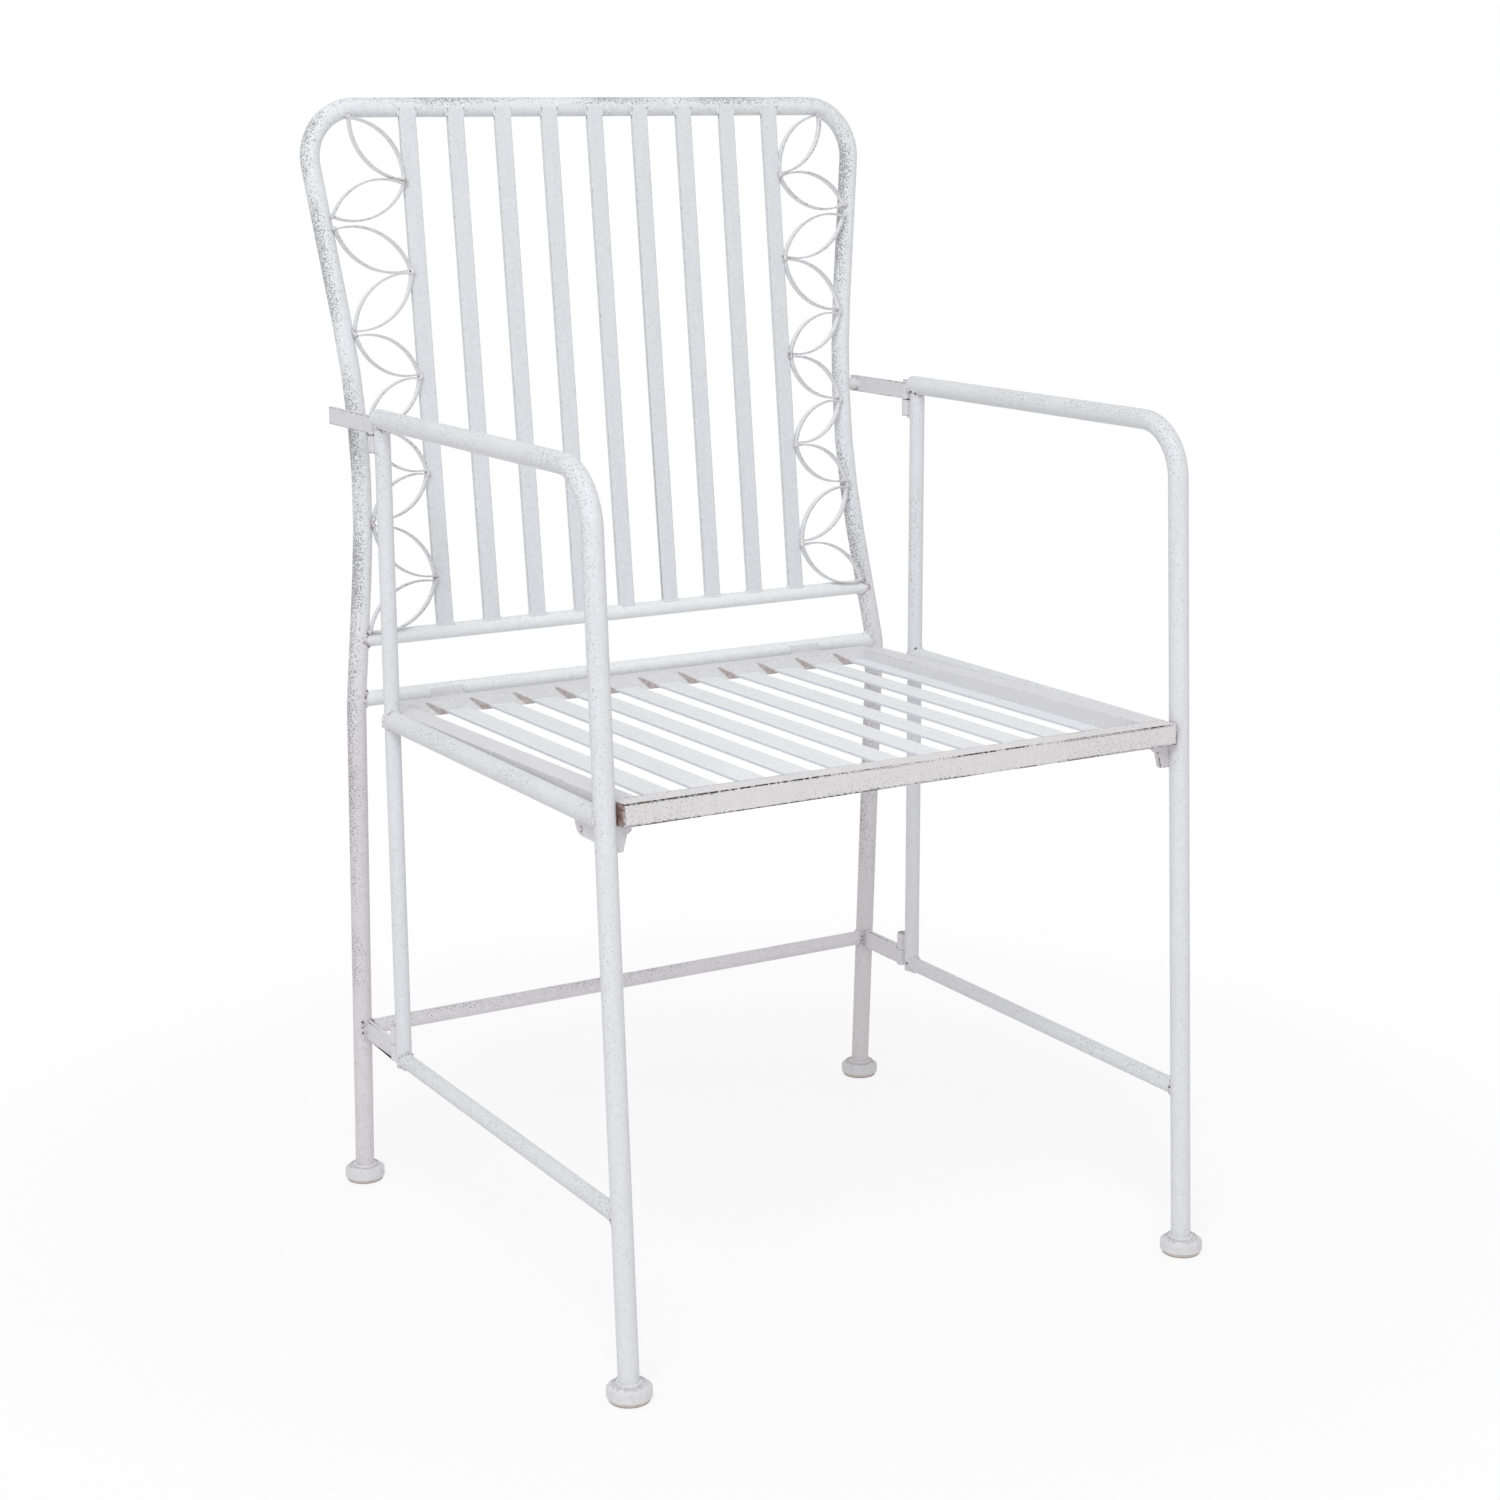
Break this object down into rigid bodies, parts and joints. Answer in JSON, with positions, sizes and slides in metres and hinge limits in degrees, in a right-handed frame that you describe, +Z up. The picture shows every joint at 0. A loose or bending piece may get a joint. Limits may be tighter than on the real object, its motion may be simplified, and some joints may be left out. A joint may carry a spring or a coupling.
{
  "type": "folding garden armchair",
  "caption": "Folding garden armchair of white painted steel: tube frame, slatted seat that tips up, hinged arm frames, and a slatted back edged with bent leaves.",
  "frame": {"origin": "on the floor, under the middle of the chair's overall width and depth", "axes": "+Z up; the chair faces -Y; +X is the sitter's left"},
  "size_m": [0.5504, 0.5518, 0.925],
  "materials": {
    "tube_paint": "satin off-white paint, speckled",
    "slat_paint": "satin off-white paint",
    "leaf_paint": "satin off-white paint",
    "rim_paint": "satin off-white paint, worn at the edges",
    "seat_slat_paint": "satin off-white paint",
    "hinge_paint": "satin off-white paint, rusty at the welds",
    "foot_paint": "satin off-white paint",
    "glide": "matt beige"
  },
  "bodies": {
    "back_frame": {"back_frame_tube": "tube_paint", "back_lower_rail": "tube_paint", "back_slat_1": "slat_paint", "back_slat_2": "slat_paint", "back_slat_3": "slat_paint", "back_slat_4": "slat_paint", "back_slat_5": "slat_paint", "back_slat_6": "slat_paint", "back_slat_7": "slat_paint", "back_slat_8": "slat_paint", "back_slat_9": "slat_paint", "hinge_stub_left": "hinge_paint", "hinge_stub_right": "hinge_paint", "leaves_left": "leaf_paint", "leaves_right": "leaf_paint", "lower_hinge_bar_left": "hinge_paint", "lower_hinge_bar_right": "hinge_paint", "lower_hinge_pins": "hinge_paint", "rear_foot_left": "foot_paint", "rear_foot_right": "foot_paint", "rear_pads": "glide", "rear_stretcher": "tube_paint", "seat_crossbar": "tube_paint", "upper_hinge_bar_left": "hinge_paint", "upper_hinge_bar_right": "hinge_paint", "upper_hinge_pins": "hinge_paint"},
    "left_frame": {"arm_and_leg_left": "tube_paint", "front_foot_left": "foot_paint", "front_pad_left": "glide", "lower_barrel_left": "hinge_paint", "lower_gusset_left": "hinge_paint", "lower_rail_left": "tube_paint", "rail_gusset_left": "hinge_paint", "rear_post_left": "tube_paint", "seat_rail_left": "tube_paint", "seat_rest_left": "hinge_paint", "upper_barrel_left": "hinge_paint", "upper_gusset_left": "hinge_paint"},
    "right_frame": {"arm_and_leg_right": "tube_paint", "front_foot_right": "foot_paint", "front_pad_right": "glide", "lower_barrel_right": "hinge_paint", "lower_gusset_right": "hinge_paint", "lower_rail_right": "tube_paint", "rail_gusset_right": "hinge_paint", "rear_post_right": "tube_paint", "seat_rail_right": "tube_paint", "seat_rest_right": "hinge_paint", "upper_barrel_right": "hinge_paint", "upper_gusset_right": "hinge_paint"},
    "seat": {"seat_front_bar": "rim_paint", "seat_rear_bar": "rim_paint", "seat_side_bar_left": "rim_paint", "seat_side_bar_right": "rim_paint", "seat_slats": "seat_slat_paint", "seat_strap_left": "hinge_paint", "seat_strap_right": "hinge_paint"}
  },
  "joints": [
    {"name": "seat_tip", "type": "hinge", "parent": "back_frame", "child": "seat", "pos_m": [0, 0.21172, 0.4344], "axis": [-1, 0, 0], "range_deg": [0, 83]},
    {"name": "left_frame_swing", "type": "hinge", "parent": "back_frame", "child": "left_frame", "pos_m": [0.256, 0.15625, 0.4], "axis": [0, 0, 1], "range_deg": [0, 90]},
    {"name": "right_frame_swing", "type": "hinge", "parent": "back_frame", "child": "right_frame", "pos_m": [-0.256, 0.15625, 0.4], "axis": [0, 0, -1], "range_deg": [0, 90]}
  ]
}
